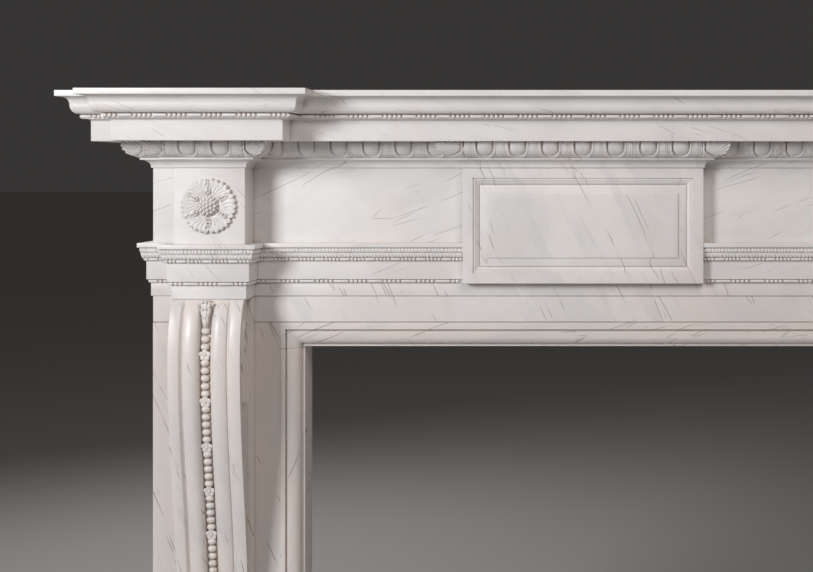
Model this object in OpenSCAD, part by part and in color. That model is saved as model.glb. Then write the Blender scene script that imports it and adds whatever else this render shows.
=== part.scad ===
// Carved marble fireplace mantel: a breakfront shelf over a frieze with two end blocks and a centre
// tablet, carried by two jambs that have scrolled consoles in front and stand on foot blocks.
// Frame: +Z up, +Y towards the wall, origin on the hearth at the middle of the whole.

/* [Opening] */
// Clear width of the fire opening
opening_w = 1024; // [800:1:1300]
// Clear height of the fire opening
opening_h = 965; // [800:1:1200]

/* [Body] */
// Width of a jamb, outside the frame round the opening
jamb_w = 233; // [190:1:300]
// Thickness from the frieze face back to the wall
slab_t = 88; // [50:1:150]
// Width of an end block and of the console under it
block_w = 128; // [100:1:160]
// Plain margin of the body outside each end block
block_margin = 56; // [30:1:120]
// How far an end block stands out from the frieze
block_out = 67; // [45:1:110]

/* [Shelf] */
// Height of the shelf's square front edge
edge_h = 10.5; // [8:0.5:25]
// Overhang of that edge from the face below it
edge_out = 133; // [120:1:180]
// Height of the S-shaped moulding under the edge
cyma_h = 30; // [20:0.5:50]
// Depth of the S-shaped moulding
cyma_d = 24; // [12:0.5:34]
// Height of the ground strip that carries the upper beads
top_bead_h = 8; // [5:0.5:14]
// Height of the small hollow above the corona
cove_h = 4; // [2:0.5:10]
// Height of the plain corona
corona_h = 35.5; // [20:0.5:60]
// Overhang of the corona
corona_out = 85; // [60:1:92]

/* [Bed moulding] */
// Height of the egg and dart band
egg_h = 28; // [20:0.5:45]
// Overhang of the egg and dart band at its top
egg_out = 45; // [36:1:55]
// Depth that the eggs are cut back to
egg_cut = 6; // [3:0.5:9]
// Height of the fillet under the eggs
egg_fillet_h = 4.5; // [3:0.5:10]
// Overhang of that fillet
egg_fillet_out = 19; // [14:1:26]
// Height of the hollow under the fillet
hollow_h = 14.5; // [8:0.5:25]

/* [Frieze] */
// Height of the plain frieze
frieze_h = 137; // [100:1:200]
// Width of the centre tablet
tablet_w = 437; // [300:1:600]
// How far the tablet stands out from the frieze
tablet_out = 24.5; // [24:0.5:40]
// Plain border of the tablet
tablet_border = 20; // [12:1:40]
// Width of the sunk moulding inside the border
panel_mould = 12; // [6:1:20]
// Width of the bevel round the raised field
panel_bevel = 15; // [8:1:30]
// Depth of the sinking round the raised field
panel_depth = 7; // [3:0.5:12]
// Radius of the rosette on each end block
rosette_r = 50; // [35:1:60]

/* [Architrave] */
// Height of the ledge under the frieze
ledge_h = 8; // [5:0.5:15]
// Overhang of the ledge
ledge_out = 23; // [18:1:24]
// Height of the leaf band
leaf_h = 18.5; // [12:0.5:30]
// Overhang of the leaf band at its top
leaf_out = 20; // [16:1:22]
// Height of the first bead strip
bead_1_h = 6; // [4:0.5:12]
// Height of the upper fascia
upper_fascia_h = 34; // [20:0.5:60]
// Overhang of the upper fascia
upper_fascia_out = 9.5; // [6:0.5:12]
// Height of the second bead strip
bead_2_h = 6.5; // [4:0.5:12]
// Height of the lower fascia
lower_fascia_h = 24; // [14:0.5:50]
// Overhang of the lower fascia
lower_fascia_out = 3; // [2:0.5:6]
// Height of the plain lintel face
lintel_h = 49; // [30:1:90]

/* [Frame round the opening] */
// Width of the frame's flat band along the head
head_band = 13; // [8:0.5:20]
// Width of the frame's flat band down each side
side_band = 9.5; // [6:0.5:20]
// Width of the groove beside the band
quirk_w = 3; // [2:0.5:5]
// Width of the rounded part of the frame
round_w = 24; // [15:0.5:35]
// Depth of the rounded part of the frame
round_d = 18; // [10:0.5:25]
// Width of the frame's inner fillet
inner_fillet = 5.5; // [4:0.5:12]
// Drop of the frame's joint under the head
frame_joint_drop = 3; // [2:0.5:20]

/* [Consoles] */
// Greatest projection of a console
console_out = 106; // [90:1:120]
// Projection of a console at its narrow waist
console_waist = 44; // [36:1:60]
// Thickness of the plate behind a console
console_plate = 9; // [6:1:15]
// Width of a console's flat margins
console_margin = 20; // [14:1:26]
// Width of the slope from a margin down to the groove beside it
margin_slope = 5; // [3:0.5:8]
// Depth of that groove
groove_d = 8; // [5:0.5:12]
// Width of the channel that holds the bead string
channel_w = 18; // [16:1:22]
// Depth of the channel
channel_d = 17; // [12:0.5:20]
// Height of the curved upper end
crown_h = 110; // [80:1:130]
// Height from the fullest point down to the waist
taper_h = 472; // [350:1:520]

/* [Foot blocks] */
// Height of a foot block
foot_h = 150; // [100:1:220]
// How far a foot block stands out from what it carries
foot_out = 6; // [3:1:12]
// Height of the bevel on a foot block
foot_bevel_h = 12; // [6:1:25]

/* [Hidden] */

curve_steps = 8;       // flats in each quarter curve
bead_ground = 4;       // how far a bead strip's ground lies behind the bead tips
lip_out = 3;           // the plain lip under the bed moulding's hollow
lip_h = 2;
leaf_cut = 4;          // how deep the leaves are cut
leaf_lean = 4;         // how far the leaf band leans back towards its foot
mould_step = 3;        // the square step round the tablet's sunk panel and round its raised field
field_step = 1;        // how far the raised field stays behind the tablet's border
fillet_step = 1.5;     // the step between the frame's inner fillet and its rounded part
band_out = 1.5;        // how far the frame's flat band stands out from the frieze face
far = 400;             // longer than any overhang, for extrusions that are trimmed
marble = "#e4e1dd";
marble_shade = "#d9d4cf";

// Half widths, left to right from the middle
open_x = opening_w / 2;
frame_side_w = side_band + quirk_w + round_w + inner_fillet;
frame_head_h = head_band + quirk_w + round_w + inner_fillet;
frame_x = open_x + frame_side_w;
body_x = frame_x + jamb_w;
block_x1 = body_x - block_margin;
block_x0 = block_x1 - block_w;
block_mid = (block_x0 + block_x1) / 2;
tablet_x = tablet_w / 2;

// Depths: the wall is at the back, the shelf edge at the front
depth = slab_t + block_out + edge_out;
wall_y = depth / 2;
face_y = wall_y - slab_t;
block_y = face_y - block_out;
tablet_y = face_y - tablet_out;

// Heights from the hearth up
joint_z = opening_h - frame_joint_drop;
lintel_z = opening_h + frame_head_h;
fascia_z = lintel_z + lintel_h;
bead_2_z = fascia_z + lower_fascia_h;
upper_fascia_z = bead_2_z + bead_2_h;
bead_1_z = upper_fascia_z + upper_fascia_h;
leaf_z = bead_1_z + bead_1_h;
ledge_z = leaf_z + leaf_h;
frieze_z = ledge_z + ledge_h;
hollow_z = frieze_z + frieze_h;
fillet_z = hollow_z + hollow_h;
egg_z = fillet_z + egg_fillet_h;
corona_z = egg_z + egg_h;
cove_z = corona_z + corona_h;
top_bead_z = cove_z + cove_h;
cyma_z = top_bead_z + top_bead_h;
edge_z = cyma_z + cyma_h;
top_z = edge_z + edge_h;

// A profile is a list of [overhang, height], from the top down.
// Quarter round, upright at its top and level at its foot
function rounded(o0, z0, o1, z1) =
    [for (i = [0:curve_steps]) let (a = 90 * i / curve_steps)
        [o1 + (o0 - o1) * cos(a), z0 - (z0 - z1) * sin(a)]];
// Quarter hollow, level at its top and upright at its foot
function hollowed(o0, z0, o1, z1) =
    [for (i = [0:curve_steps]) let (a = 90 * i / curve_steps)
        [o0 - (o0 - o1) * sin(a), z1 + (z0 - z1) * cos(a)]];

cyma_o = edge_out - edge_h * 0.75;
cyma_mid = cyma_z + cyma_h / 2;
shelf_profile = concat(
    [[edge_out, top_z], [edge_out, edge_z]],
    hollowed(cyma_o, edge_z, cyma_o - cyma_d / 2, cyma_mid),
    rounded(cyma_o - cyma_d / 2, cyma_mid, cyma_o - cyma_d, cyma_z),
    [[cyma_o - cyma_d - bead_ground, cyma_z], [cyma_o - cyma_d - bead_ground, top_bead_z]],
    hollowed(cyma_o - cyma_d - bead_ground, top_bead_z, corona_out, cove_z),
    [[corona_out, corona_z]]);

bed_profile = concat(
    rounded(egg_out - egg_cut, corona_z, egg_fillet_out - bead_ground, egg_z),
    [[egg_fillet_out, egg_z], [egg_fillet_out, fillet_z]],
    hollowed(egg_fillet_out - 1, fillet_z, lip_out, hollow_z + lip_h),
    [[lip_out, hollow_z], [0, hollow_z]]);

architrave_profile = concat(
    [[0, frieze_z], [ledge_out, frieze_z], [ledge_out, ledge_z]],
    rounded(leaf_out - leaf_cut, ledge_z, leaf_out - leaf_cut - leaf_lean, leaf_z),
    [[leaf_out - leaf_cut - leaf_lean, bead_1_z],
     [upper_fascia_out, bead_1_z], [upper_fascia_out, upper_fascia_z],
     [upper_fascia_out - bead_ground, upper_fascia_z], [upper_fascia_out - bead_ground, bead_2_z],
     [lower_fascia_out, bead_2_z], [lower_fascia_out, fascia_z]]);

block_profile = concat(bed_profile, architrave_profile);
frieze_profile = concat(block_profile, [[0, fascia_z], [0, lintel_z]]);
tablet_profile = concat(bed_profile, [[0, bead_2_z]]);

function reversed(list) = [for (i = [len(list) - 1:-1:0]) list[i]];

// Prism along X from points [y, z]
module along_x(x0, x1, points) {
    translate([x0, 0, 0]) rotate([90, 0, 90]) linear_extrude(x1 - x0) polygon(points);
}

// Prism along Y from points [x, z]
module along_y(y0, y1, points) {
    translate([0, y1, 0]) rotate([90, 0, 0]) linear_extrude(y1 - y0) polygon(points);
}

// Block from x0 to x1 and y0 to y1 with a profile worked round its front and its ends, mitred.
// left and right are 1 where that end is moulded too and 0 where it is square.
module moulded_block(x0, x1, y0, y1, profile, left = 1, right = 1) {
    low = profile[len(profile) - 1][1];
    high = profile[0][1];
    intersection() {
        along_x(x0 - far, x1 + far,
            concat([for (p = profile) [y0 - p[0], p[1]]], [[y1, low], [y1, high]]));
        along_y(y0 - far, y1,
            concat([for (p = profile) [x0 - left * p[0], p[1]]],
                   reversed([for (p = profile) [x1 + right * p[0], p[1]]])));
    }
}

module both_sides() {
    children();
    mirror([1, 0, 0]) children();
}

// ---- the shelf, breaking forward over each end block ----
module shelf() {
    color(marble) union() {
        moulded_block(-body_x, body_x, face_y, wall_y, shelf_profile);
        both_sides() moulded_block(-block_x1, -block_x0, block_y, wall_y, shelf_profile);
    }
}

// ---- frieze, with the bed moulding over it and the architrave bands under it ----
module end_block_body() {
    moulded_block(-block_x1, -block_x0, block_y, face_y, block_profile);
}

module tablet_body() {
    moulded_block(-tablet_x, tablet_x, tablet_y, face_y, tablet_profile);
}

module frieze() {
    color(marble) difference() {
        moulded_block(-body_x, body_x, face_y, wall_y, frieze_profile);
        both_sides() end_block_body();
        tablet_body();
    }
}

// Sloped-sided block in the tablet's face: w by h at y0, narrowing by slope towards y1
module sloped_panel(w, h, z_mid, y0, y1, slope) {
    intersection() {
        along_x(-w, w, [[y0, z_mid - h / 2], [y1, z_mid - h / 2 + slope],
                        [y1, z_mid + h / 2 - slope], [y0, z_mid + h / 2]]);
        translate([0, 0, z_mid - h]) linear_extrude(2 * h)
            polygon([[-w / 2, y0], [w / 2, y0], [w / 2 - slope, y1], [-w / 2 + slope, y1]]);
    }
}

module tablet() {
    panel_w = tablet_w - 2 * tablet_border;
    panel_h = hollow_z - bead_2_z - 2 * tablet_border;
    panel_mid = (hollow_z + bead_2_z) / 2;
    field_w = panel_w - 2 * panel_mould;
    field_h = panel_h - 2 * panel_mould;
    bevel_y = tablet_y + mould_step;
    floor_y = tablet_y + panel_depth;
    color(marble_shade) union() {
        difference() {
            tablet_body();
            sloped_panel(panel_w, panel_h, panel_mid, tablet_y - 1, floor_y, panel_mould - mould_step);
        }
        sloped_panel(field_w, field_h, panel_mid, floor_y, bevel_y, panel_bevel);
        translate([-field_w / 2 + panel_bevel, tablet_y + field_step, panel_mid - field_h / 2 + panel_bevel])
            cube([field_w - 2 * panel_bevel, panel_depth - field_step, field_h - 2 * panel_bevel]);
    }
}

// Six leaves round a domed heart, on a low disc that is let into the block by lap
module rosette() {
    lap = 1;
    disc_h = 3;
    leaf_h = 9;
    leaf_ball = rosette_r * 0.62;
    leaf_mid = rosette_r * 0.6;
    heart_r = rosette_r * 0.36;
    translate([-block_mid, block_y, frieze_z + frieze_h / 2]) rotate([90, 0, 0]) {
        translate([0, 0, -lap]) cylinder(r = rosette_r, h = disc_h + lap, $fn = 96);
        intersection() {
            cylinder(r = rosette_r, h = 2 * leaf_h, $fn = 96);
            for (i = [0:5]) rotate([0, 0, 60 * i])
                translate([leaf_mid, 0, leaf_h - leaf_ball]) sphere(r = leaf_ball, $fn = 64);
        }
        translate([0, 0, -lap]) sphere(r = heart_r, $fn = 64);
    }
}

module end_block_left() {
    color(marble_shade) union() {
        end_block_body();
        rosette();
    }
}

// ---- consoles ----
console_top = fascia_z;
crown_out = block_out - 1; // projection at the very top, just behind the end block's face
foot_roll_out = 66;      // projection of the small roll at the foot
foot_roll_h = 50;        // height of the roll's fullest point
foot_end_out = 52;       // projection where it meets the foot block
groove_fade = 9;         // the grooves run out over this height at each end
crown_z = console_top - crown_h;
waist_z = crown_z - taper_h;
roll_z = foot_h + foot_roll_h;

// Share of a swing from 1 down to 0 as t goes from 0 to 1, level at both ends
function swing(t) = (1 + cos(180 * t)) / 2;
// Quarter of an ellipse, from 1 at u = 0 down to 0 at u = 1
function bulge(u) = sqrt(max(0, 1 - u * u));

// Projection of the scroll at height z: a full crown, a long taper to the waist and a roll at the foot
function scroll_out(z) =
    z > crown_z ? crown_out + (console_out - crown_out) * bulge((z - crown_z) / crown_h)
    : z > waist_z ? console_waist + (console_out - console_waist) * swing((crown_z - z) / taper_h)
    : z > roll_z ? foot_roll_out + (console_waist - foot_roll_out) * swing((waist_z - z) / (waist_z - roll_z))
    : foot_end_out + (foot_roll_out - foot_end_out) * bulge((roll_z - z) / foot_roll_h);

// How far the front is cut back at offset a from a console's centre line: a flat margin, a slope into
// a groove, a convex roll and the channel for the beads
roll_x0 = channel_w / 2;
roll_x1 = block_w / 2 - console_margin - margin_slope;
roll_top = (roll_x0 + roll_x1) / 2;
function cut_back(a) =
    a >= roll_x1 ? groove_d * (1 - min(1, (a - roll_x1) / margin_slope))
    : a >= roll_top ? groove_d * (1 - bulge((a - roll_top) / (roll_x1 - roll_top)))
    : a > roll_x0 ? channel_d * (1 - bulge((roll_top - a) / (roll_top - roll_x0)))
    : channel_d;
function groove_share(z) = 1 - swing(min(groove_fade, console_top - z, z - console_foot) / groove_fade);

console_foot = foot_h;
rings = 46;              // cross sections from top to foot
roll_steps = 10;         // flats across one roll
half_section = concat(
    [block_w / 2, roll_x1 + margin_slope],
    [for (i = [0:roll_steps]) roll_x0 + (roll_x1 - roll_x0) * swing(i / roll_steps)]);
section_x = concat([for (x = half_section) -x], reversed(half_section));
// Sections lie closer together at the crown, where the outline turns fastest: spread is 1 when they
// are evenly spaced
spread = 0.4;
function ring_z(i) = let (t = i / rings)
    console_top - (console_top - console_foot) * (spread * t + (1 - spread) * t * t);

module scroll() {
    back = -console_plate / 2;
    n = len(section_x) + 2;
    points = [for (i = [0:rings]) let (z = ring_z(i), o = scroll_out(z), share = groove_share(z))
        each concat([for (x = section_x) [x, share * cut_back(abs(x)) - o, z]],
                    [[block_w / 2, back, z], [-block_w / 2, back, z]])];
    sides = [for (i = [0:rings - 1]) for (j = [0:n - 1]) let (k = (j + 1) % n)
        [i * n + j, i * n + k, (i + 1) * n + k, (i + 1) * n + j]];
    top_face = [for (j = [n - 1:-1:0]) j];
    foot_face = concat([rings * n + n - 1], [for (j = [0:n - 2]) rings * n + j]);
    polyhedron(points, concat(sides, [top_face, foot_face]), convexity = 8);
}

module console_left() {
    plate_lap = 2;
    color(marble) translate([-block_mid, face_y, 0]) union() {
        scroll();
        translate([-block_w / 2 - plate_lap, -console_plate, console_foot])
            cube([block_w + 2 * plate_lap, console_plate, console_top - console_foot]);
    }
}

// ---- jambs, frame and feet ----
module jamb_left() {
    color(marble_shade) translate([-body_x, face_y, foot_h])
        cube([body_x - frame_x, slab_t, lintel_z - foot_h]);
}

// Frame section from its inner edge outwards: [distance from the opening, depth behind the face]
function frame_section(band) = let (r0 = inner_fillet, r1 = inner_fillet + round_w) concat(
    [[0, round_d], [r0, round_d]],
    [for (i = [0:curve_steps]) let (a = 90 * i / curve_steps)
        [r0 + round_w * (1 - cos(a)), (round_d - fillet_step) * (1 - sin(a))]],
    [[r1, quirk_w], [r1 + quirk_w, quirk_w], [r1 + quirk_w, -band_out],
     [r1 + quirk_w + band, -band_out]]);

// The frame's left side from z0 to z1, in the left half
module frame_side(z0, z1) {
    translate([0, 0, z0]) linear_extrude(z1 - z0)
        polygon(concat([for (p = frame_section(side_band)) [-open_x - p[0], face_y + p[1]]],
                       [[-frame_x, wall_y], [-open_x, wall_y]]));
}

module frame_head() {
    color(marble_shade) union() {
        intersection() {
            along_x(-frame_x, frame_x,
                concat([for (p = frame_section(head_band)) [face_y + p[1], opening_h + p[0]]],
                       [[wall_y, lintel_z], [wall_y, opening_h]]));
            along_y(face_y - far, wall_y,
                [[-open_x, opening_h], [-frame_x, opening_h + frame_side_w], [-frame_x, lintel_z],
                 [frame_x, lintel_z], [frame_x, opening_h + frame_side_w], [open_x, opening_h]]);
        }
        both_sides() intersection() {
            frame_side(joint_z, lintel_z);
            along_y(face_y - far, wall_y,
                [[-open_x, joint_z], [-frame_x, joint_z], [-frame_x, opening_h + frame_side_w],
                 [-open_x, opening_h]]);
        }
    }
}

module frame_left() {
    color(marble_shade) frame_side(foot_h, joint_z);
}

foot_profile = [[0, foot_h], [foot_out, foot_h - foot_bevel_h], [foot_out, 0]];
module foot_block_left() {
    color(marble) union() {
        moulded_block(-body_x, -open_x, face_y - band_out, wall_y, foot_profile, 1, 0);
        moulded_block(-block_x1, -block_x0, block_y, wall_y, foot_profile);
    }
}

shelf();
frieze();
tablet();
end_block_left();
mirror([1, 0, 0]) end_block_left();  // end_block_right
console_left();
mirror([1, 0, 0]) console_left();  // console_right
jamb_left();
mirror([1, 0, 0]) jamb_left();  // jamb_right
frame_head();
frame_left();
mirror([1, 0, 0]) frame_left();  // frame_right
foot_block_left();
mirror([1, 0, 0]) foot_block_left();  // foot_block_right
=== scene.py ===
"""Carved marble fireplace mantel: mouldings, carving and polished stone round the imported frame.

Lengths are millimetres in every function here. They turn to metres only where a mesh is made, and in
the sizes that the panel shows. +X is to the right, +Y towards the wall and +Z up.
"""
import math

import bmesh
import bpy
import numpy as np
from bpy.props import FloatProperty, FloatVectorProperty, IntProperty, PointerProperty
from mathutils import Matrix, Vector


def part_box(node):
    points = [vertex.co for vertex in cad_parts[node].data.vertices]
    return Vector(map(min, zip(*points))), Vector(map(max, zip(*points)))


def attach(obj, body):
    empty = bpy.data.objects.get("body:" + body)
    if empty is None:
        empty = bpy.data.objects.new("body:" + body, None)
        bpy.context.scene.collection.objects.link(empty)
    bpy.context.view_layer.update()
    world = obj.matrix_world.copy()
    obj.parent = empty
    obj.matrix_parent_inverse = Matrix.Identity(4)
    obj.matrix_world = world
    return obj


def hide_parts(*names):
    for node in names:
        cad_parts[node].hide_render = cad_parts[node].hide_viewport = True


bl_info = {
    "name": "Carved Marble Mantel",
    "version": (1, 0, 0),
    "blender": (4, 5, 0),
    "location": "View3D > Sidebar > Mantel",
    "description": "Builds the mouldings, carving and polished marble of a fireplace mantel",
    "category": "Add Mesh",
}

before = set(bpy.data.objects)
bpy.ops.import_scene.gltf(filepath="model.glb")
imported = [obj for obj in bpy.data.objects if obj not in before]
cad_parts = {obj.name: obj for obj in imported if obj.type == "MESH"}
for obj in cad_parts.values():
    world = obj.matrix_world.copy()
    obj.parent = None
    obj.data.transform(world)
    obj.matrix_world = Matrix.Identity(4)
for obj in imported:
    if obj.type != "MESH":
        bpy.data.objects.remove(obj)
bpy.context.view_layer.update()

MM = 0.001                # metres in a millimetre


# ---- places that come from the frame ----

def span(node):
    """Lowest and highest corners of a node, in millimetres."""
    low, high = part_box(node)
    return low / MM, high / MM


shelf_low, shelf_high = span("shelf")
block_low = span("end_block_left")[0]
tablet_low, tablet_high = span("tablet")
console_low, console_high = span("console_left")
jamb_low, jamb_high = span("jamb_left")
head_high = span("frame_head")[1]
side_high = span("frame_left")[1]
foot_low, foot_high = span("foot_block_left")

# What the construction adds round its plain bodies
EGG_GROUND = 39           # overhang of the stone that the eggs are cut from, at its top
FOOT_OUT = 6              # how far a foot block stands out from what it carries
PLATE_LAP = 2             # how far a console's backing plate shows beside it

# Half widths, left to right from the middle
OPEN_X = -side_high.x
FRAME_X = -jamb_high.x
BODY_X = -jamb_low.x
BLOCK_X0 = -console_high.x + PLATE_LAP
BLOCK_X1 = -console_low.x - PLATE_LAP
BLOCK_MID = (BLOCK_X0 + BLOCK_X1) / 2
TABLET_X = tablet_high.x - EGG_GROUND

# Depths
WALL_Y = jamb_high.y
FACE_Y = jamb_low.y
BLOCK_Y = foot_low.y + FOOT_OUT
TABLET_Y = tablet_low.y + EGG_GROUND

# Heights of the beds between one stone or moulding and the next
TOP_Z = shelf_high.z
CORONA_Z = shelf_low.z
EGG_Z = CORONA_Z - 28
FILLET_Z = EGG_Z - 4.5
HOLLOW_Z = FILLET_Z - 14.5
FASCIA_Z = block_low.z
BEAD_2_Z = tablet_low.z
UPPER_FASCIA_Z = BEAD_2_Z + 6.5
BEAD_1_Z = UPPER_FASCIA_Z + 34
LEAF_Z = BEAD_1_Z + 6
LEDGE_Z = LEAF_Z + 18.5
FRIEZE_Z = LEDGE_Z + 8
LINTEL_Z = head_high.z
JOINT_Z = side_high.z
FOOT_Z = foot_high.z

# Overhangs of the mouldings from the plain face under them
EDGE_OUT = shelf_high.x - BODY_X
CORONA_OUT = 85
LEDGE_OUT = 23
LEAF_GROUND = 16
LEAF_LEAN = 4
BEAD_GROUND = 4           # how far the ground of a bead strip lies behind the bead tips
BEAD_1_OUT = LEAF_GROUND - LEAF_LEAN
BEAD_2_OUT = 5.5
LOWER_FASCIA_OUT = 3

# Shelf edge, from the top down
EDGE_H = 10.5
CYMA_H = 30
CYMA_IN = 7.9             # how far the S-moulding starts behind the edge
CYMA_D = 24
SHELF_BEAD_H = 8
SHELF_COVE_H = 4
CYMA_Z = TOP_Z - EDGE_H - CYMA_H
CYMA_FOOT_OUT = EDGE_OUT - CYMA_IN - CYMA_D

# From one group of beads to the next, along each strip
SHELF_REPEAT = 59.8
BEAD_1_REPEAT = 46.2
BEAD_2_REPEAT = 61.8

# Clearances that keep two faces from lying in one another
LEVEL_GAP = 0.05          # between level faces of neighbouring stones
END_GAP = 0.3             # between carving and the plane of a square end

CURVE_STEPS = 14          # flats in a quarter curve


# ---- sizes and colours that the panel shows ----

def linear(hex_colour):
    """Linear RGB of an sRGB hex colour."""
    channels = [int(hex_colour[i:i + 2], 16) / 255 for i in (1, 3, 5)]
    return tuple(c / 12.92 if c <= 0.04045 else ((c + 0.055) / 1.055) ** 2.4 for c in channels)


def length(name, description, millimetres):
    """A length in the panel, from its default in millimetres."""
    return FloatProperty(name=name, description=description, default=millimetres * MM, min=0,
                         unit="LENGTH", precision=4)


def colour(name, description, hex_colour):
    """A colour in the panel, from its default in sRGB."""
    return FloatVectorProperty(name=name, description=description, subtype="COLOR", size=3,
                               min=0, max=1, default=linear(hex_colour))


class MantelSizes(bpy.types.PropertyGroup):
    arris: length("Arris", "Rounding worn into the outer edges", 1.0)
    egg_pitch: length("Egg pitch", "From one egg to the next", 58.4)
    egg_half: length("Egg half width", "Half the width of an egg at its top", 13.7)
    egg_length: length("Egg length", "Height of an egg", 24)
    egg_relief: length("Egg relief", "How far an egg stands out from the groove round it", 6)
    leaf_pitch: length("Leaf pitch", "From one leaf of the leaf band to the next", 24)
    leaf_relief: length("Leaf relief", "How far the leaves stand out from their ground", 4.4)
    shelf_bead_pitch: length("Shelf bead pitch", "From one bead to the next under the shelf", 8.2)
    bead_1_pitch: length("Upper bead pitch", "From one bead to the next under the leaf band", 6.7)
    bead_2_pitch: length("Lower bead pitch", "From one bead to the next over the lower fascia", 8.0)
    rosette_radius: length("Rosette radius", "Radius of the rosette on an end block", 50)
    rosette_leaves: IntProperty(name="Rosette leaves", description="Leaves round a rosette",
                                default=6, min=3, max=12)
    string_bead: length("String bead radius", "Radius of the beads down a console", 7.5)
    string_pitch: length("String pitch", "From one bead to the next down a console", 13.8)
    string_group: IntProperty(name="Beads between flowers", description="Beads from one flower to the next",
                              default=5, min=1, max=12)


class MantelFinish(bpy.types.PropertyGroup):
    stone: colour("Stone", "White ground of the marble", "#eae9e8")
    cloud: colour("Cloud", "Greyer patches in the ground", "#dad8d7")
    blush: colour("Blush", "Warm pink patches in the ground", "#e6dbd5")
    vein: colour("Vein", "Fine veins", "#625e5b")
    # Painted shade: the warm grey brown that the creases and recesses of the carving are darkened towards
    hollow_shade: colour("Painted hollow shade", "Painted shade in the creases and recesses of the carving", "#a38a70")
    floor: colour("Floor", "Studio floor", "#d8d6d4")
    gloss: FloatProperty(name="Roughness", description="Roughness of the polished faces", default=0.38,
                         min=0, max=1, subtype="FACTOR")


def sizes(name):
    """A size from the panel, in millimetres."""
    return getattr(bpy.context.scene.mantel_sizes, name) / MM


# ---- meshes ----

class Carving:
    """The points and faces of one piece, in millimetres, with the edge angle that reads as sharp."""

    def __init__(self):
        self.points = []
        self.faces = []
        self.sharp = []

    def add(self, points, faces, sharp=32):
        """Adds points and the faces between them. Edges that turn by more than sharp degrees stay crisp."""
        first = len(self.points)
        self.points.extend(tuple(p) for p in points)
        self.faces.extend(tuple(first + i for i in face) for face in faces)
        self.sharp.extend([math.radians(sharp)] * len(faces))

    def mirrored(self):
        """The same carving for the other side of the mantel."""
        other = Carving()
        other.points = [(-x, y, z) for x, y, z in self.points]
        other.faces = [tuple(reversed(face)) for face in self.faces]
        other.sharp = list(self.sharp)
        return other

    def join(self, other):
        first = len(self.points)
        self.points.extend(other.points)
        self.faces.extend(tuple(first + i for i in face) for face in other.faces)
        self.sharp.extend(other.sharp)

    def piece(self, name, material, node):
        """The finished object. It rides on the mantel and stands for the node."""
        mesh = bpy.data.meshes.new(name)
        mesh.from_pydata([(x * MM, y * MM, z * MM) for x, y, z in self.points], [], self.faces)
        work = bmesh.new()
        work.from_mesh(mesh)
        work.faces.ensure_lookup_table()
        for face, limit in zip(work.faces, self.sharp):
            face.smooth = True
            for edge in face.edges:
                if len(edge.link_faces) == 2 and edge.calc_face_angle(0) > limit:
                    edge.smooth = False
        bmesh.ops.recalc_face_normals(work, faces=work.faces)
        work.to_mesh(mesh)
        work.free()
        mesh.materials.append(material)
        obj = bpy.data.objects.new(name, mesh)
        bpy.context.scene.collection.objects.link(obj)
        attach(obj, "root")
        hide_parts(node)
        return obj

    def pair(self, name, material, node):
        """The finished left and right objects of a piece whose carving is its left one."""
        self.piece(name + "_left", material, node + "_left")
        self.mirrored().piece(name + "_right", material, node + "_right")


def grid_faces(columns, rows, closed=False):
    """Quads of a grid whose points are listed column by column; closed joins the last column to the first."""
    return [(c * rows + r, c * rows + r + 1, (c + 1) % columns * rows + r + 1, (c + 1) % columns * rows + r)
            for c in range(columns if closed else columns - 1) for r in range(rows - 1)]


def bar_faces(rings, rows):
    """Faces of a closed bar whose points are listed ring by ring, with a cap on each end."""
    around = [(i * rows + j, i * rows + (j + 1) % rows, (i + 1) * rows + (j + 1) % rows, (i + 1) * rows + j)
              for i in range(rings - 1) for j in range(rows)]
    return around + [list(range(rows)), list(range((rings - 1) * rows, rings * rows))]


def ellipsoid(carving, centre, along, across, out, rings=8, sides=12):
    """Closed egg-shaped body. along, across and out are its half axes; its poles are at the ends of along."""
    centre, along, across, out = (Vector(v) for v in (centre, along, across, out))
    points = [centre - along]
    for i in range(1, rings):
        a = math.pi * i / rings
        for j in range(sides):
            b = 2 * math.pi * j / sides
            points.append(centre - along * math.cos(a)
                          + (across * math.cos(b) + out * math.sin(b)) * math.sin(a))
    points.append(centre + along)
    faces = []
    last = len(points) - 1
    for j in range(sides):
        k = (j + 1) % sides
        faces.append((0, 1 + k, 1 + j))
        faces.append((last, last - sides + j, last - sides + k))
        for i in range(rings - 2):
            row = 1 + i * sides
            faces.append((row + j, row + k, row + sides + k, row + sides + j))
    carving.add(points, faces, sharp=60)


# ---- profiles: lists of (overhang, height) from the top down ----

def quarter(steps):
    """Angles from 0 to a right angle."""
    return [math.pi / 2 * i / steps for i in range(steps + 1)]


def rounded(o0, z0, o1, z1):
    """Quarter round, upright at its top and level at its foot."""
    return [(o1 + (o0 - o1) * math.cos(a), z0 - (z0 - z1) * math.sin(a)) for a in quarter(CURVE_STEPS)]


def hollowed(o0, z0, o1, z1):
    """Quarter hollow, level at its top and upright at its foot."""
    return [(o0 - (o0 - o1) * math.sin(a), z1 + (z0 - z1) * math.cos(a)) for a in quarter(CURVE_STEPS)]


def eased(outline, radius):
    """The outline with its outer corners worn round. An outer corner is one that turns clockwise."""
    worn = [outline[0]]
    for before, here, after in zip(outline, outline[1:], outline[2:]):
        came = Vector(here) - Vector(before)
        goes = Vector(after) - Vector(here)
        turn = math.degrees(math.atan2(came.x * goes.y - came.y * goes.x, came.dot(goes)))
        if turn > -25:
            worn.append(here)
            continue
        cut = min(radius, came.length * 0.45, goes.length * 0.45)
        start = Vector(here) - came.normalized() * cut
        end = Vector(here) + goes.normalized() * cut
        for t in (0, 1 / 3, 2 / 3, 1):
            worn.append(tuple(start * (1 - t) ** 2 + Vector(here) * 2 * t * (1 - t) + end * t * t))
    worn.append(outline[-1])
    return worn


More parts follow.
